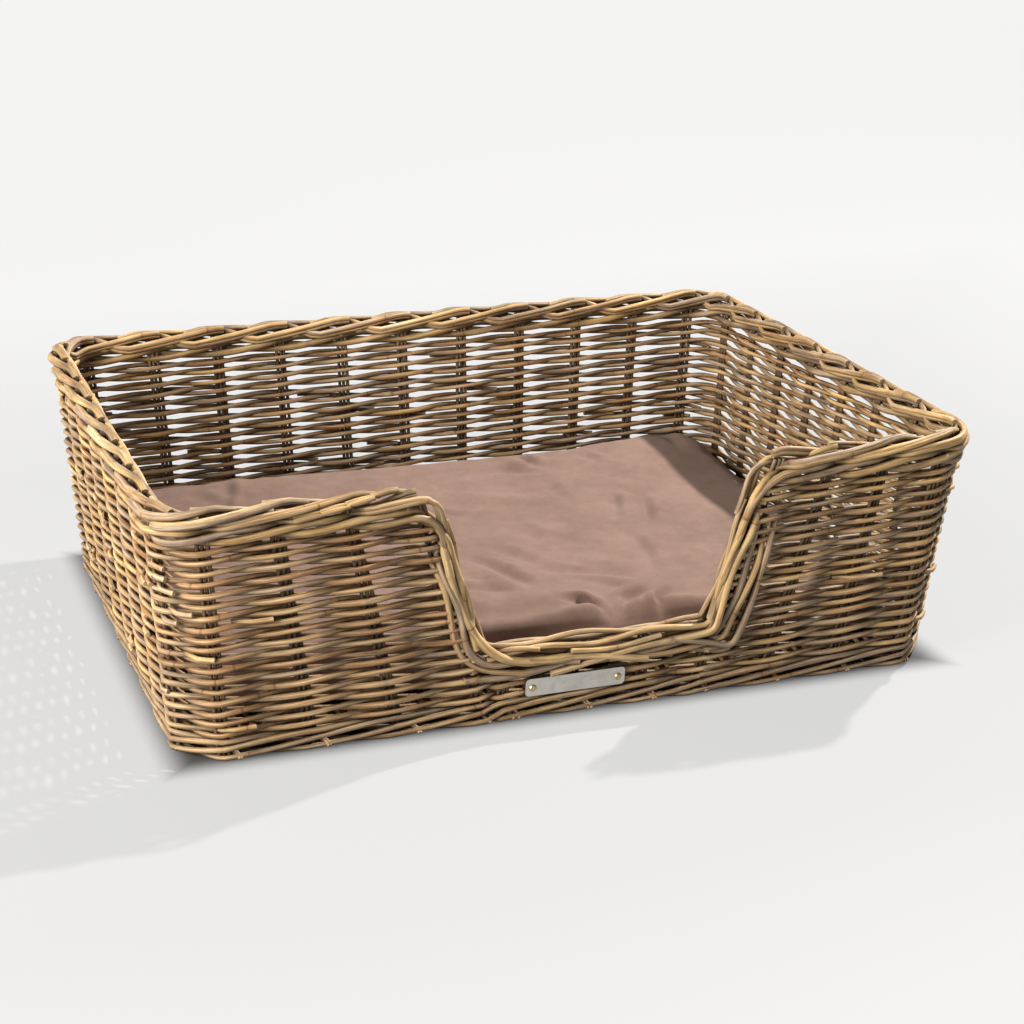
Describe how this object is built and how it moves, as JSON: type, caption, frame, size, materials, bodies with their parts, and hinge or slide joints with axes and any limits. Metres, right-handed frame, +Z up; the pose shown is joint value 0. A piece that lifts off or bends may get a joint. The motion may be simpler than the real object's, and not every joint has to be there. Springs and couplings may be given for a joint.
{
  "type": "wicker pet bed basket",
  "caption": "Rectangular woven wicker pet bed with flared walls, rolled rim, low scooped entrance, blank metal plate and a lift-out cushion.",
  "frame": {"origin": "on the floor, under the middle of the basket", "axes": "+X to the right along the long side, -Y towards the low entrance at the front, +Z up"},
  "size_m": [0.8, 0.6, 0.245],
  "materials": {
    "rattan_weave": "satin",
    "rattan_inner": "satin",
    "rattan_border": "satin",
    "rattan_stake": "satin",
    "plate_metal": "satin",
    "rivet_brass": "satin",
    "cushion_cloth": "matte",
    "cushion_filling": "matte"
  },
  "bodies": {
    "basket": {"base_frame": "rattan_border", "base_sticks": "rattan_stake", "base_weave_upper": "rattan_weave", "base_weave_lower": "rattan_weave", "foot_border_front": "rattan_border", "foot_border_back": "rattan_border", "foot_border_left": "rattan_border", "foot_border_right": "rattan_border", "foot_border_corners": "rattan_border", "stakes_back": "rattan_stake", "stakes_left": "rattan_stake", "stakes_right": "rattan_stake", "stakes_front_left": "rattan_stake", "stakes_front_right": "rattan_stake", "stakes_sill": "rattan_stake", "corner_posts": "rattan_stake", "weave_back_outer": "rattan_weave", "weave_back_inner": "rattan_inner", "weave_left_outer": "rattan_weave", "weave_left_inner": "rattan_inner", "weave_right_outer": "rattan_weave", "weave_right_inner": "rattan_inner", "weave_front_left_outer": "rattan_weave", "weave_front_left_inner": "rattan_inner", "weave_front_right_outer": "rattan_weave", "weave_front_right_inner": "rattan_inner", "weave_sill_outer": "rattan_weave", "weave_sill_inner": "rattan_inner", "weave_corners_outer": "rattan_weave", "weave_corners_inner": "rattan_inner", "rim_back": "rattan_border", "rim_left": "rattan_border", "rim_right": "rattan_border", "rim_front_left": "rattan_border", "rim_front_right": "rattan_border", "rim_corners": "rattan_border", "entrance_edge_left": "rattan_border", "entrance_edge_right": "rattan_border", "sill_border": "rattan_border", "name_plate": "plate_metal", "plate_rivets": "rivet_brass", "rivet_washers": "rivet_brass"},
    "cushion": {"cushion_cover_top": "cushion_cloth", "cushion_cover_bottom": "cushion_cloth", "cushion_fill": "cushion_filling"}
  },
  "joints": [
    {"name": "cushion_lift", "type": "slide", "parent": "basket", "child": "cushion", "axis": [0, 0, 1], "range_m": [0, 0.3]}
  ]
}
